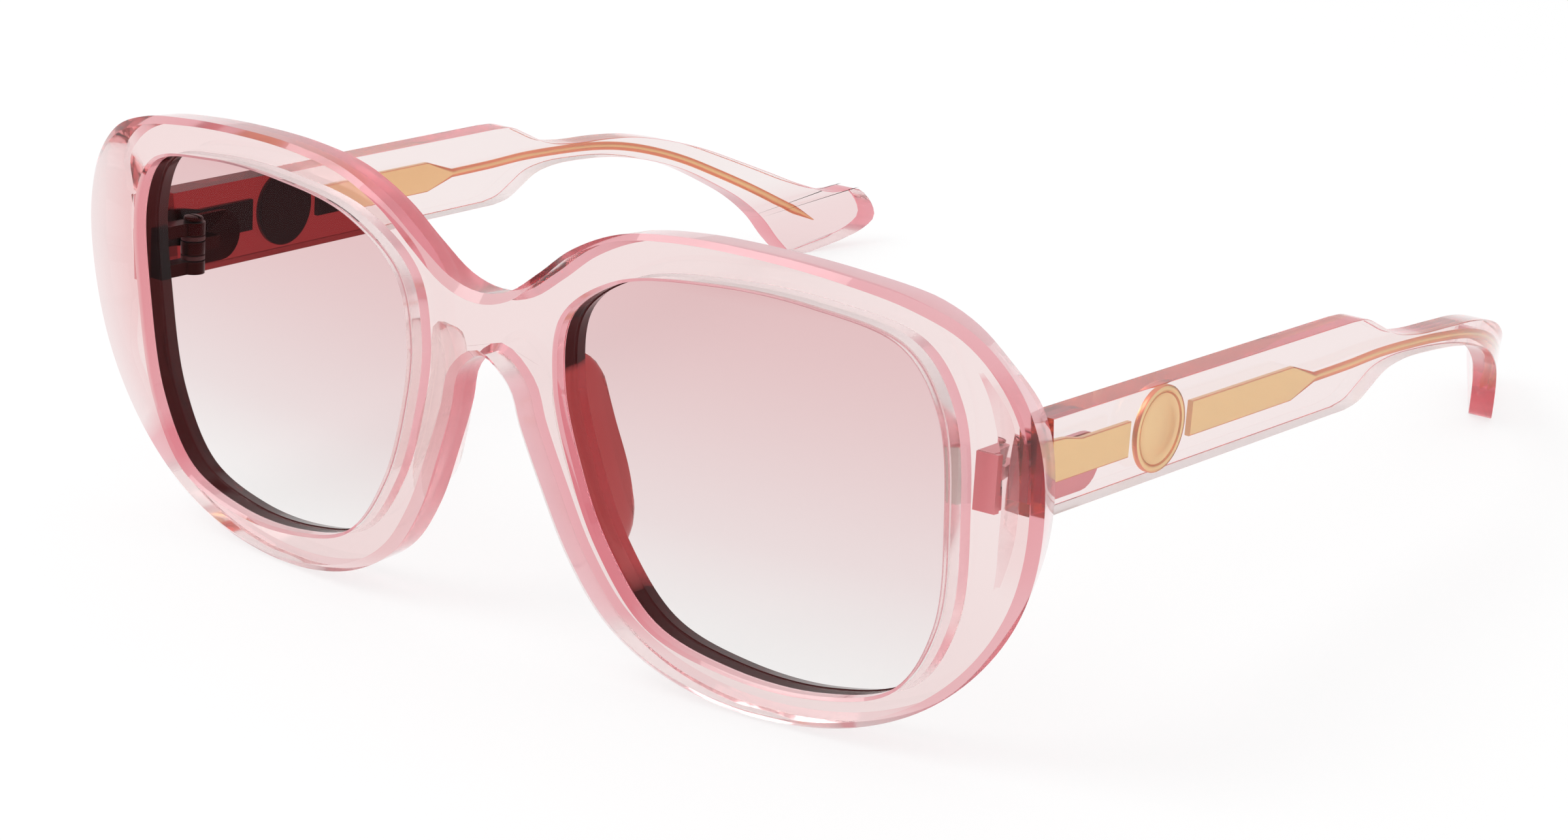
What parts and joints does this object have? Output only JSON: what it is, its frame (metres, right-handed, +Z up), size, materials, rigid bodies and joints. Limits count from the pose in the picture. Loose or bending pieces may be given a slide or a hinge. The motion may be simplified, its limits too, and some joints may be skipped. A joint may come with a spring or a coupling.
{
  "type": "sunglasses",
  "caption": "Oversized rounded-square acetate sunglasses with gradient lenses, two folding temples and metal cores set into them.",
  "frame": {"origin": "bottom centre of the open pair standing on its rims and temple tips", "axes": "+Z up, +X across the width, the lenses face -Y and the temples run towards +Y; right and left name the +X and -X sides"},
  "size_m": [0.1474, 0.1566, 0.0573],
  "materials": {
    "acetate": "polished transparent pale pink",
    "lens": "polished, rose tint fading downwards",
    "gold": "satin pale gold",
    "hinge_metal": "satin",
    "washer": "natural nylon"
  },
  "bodies": {
    "front": {"front_frame": "acetate", "lens_right": "lens", "nose_pad_right": "acetate", "front_hinge_leaf_right": "hinge_metal", "hinge_screw_right": "hinge_metal", "hinge_washer_upper_right": "washer", "hinge_washer_lower_right": "washer", "lens_left": "lens", "nose_pad_left": "acetate", "front_hinge_leaf_left": "hinge_metal", "hinge_screw_left": "hinge_metal", "hinge_washer_upper_left": "washer", "hinge_washer_lower_left": "washer"},
    "temple_right": {"temple_right": "acetate", "temple_hinge_leaf_right": "hinge_metal", "core_front_bar_right": "gold", "medallion_right": "gold", "core_rear_wire_right": "gold"},
    "temple_left": {"temple_left": "acetate", "temple_hinge_leaf_left": "hinge_metal", "core_front_bar_left": "gold", "medallion_left": "gold", "core_rear_wire_left": "gold"}
  },
  "joints": [
    {"name": "fold_right", "type": "hinge", "parent": "front", "child": "temple_right", "pos_m": [0.06415, -0.06167, 0.03344], "axis": [0, 0.1023, 0.9948], "range_deg": [0, 88]},
    {"name": "fold_left", "type": "hinge", "parent": "front", "child": "temple_left", "pos_m": [-0.06415, -0.06167, 0.03344], "axis": [0, -0.1023, -0.9948], "range_deg": [0, 64]}
  ]
}
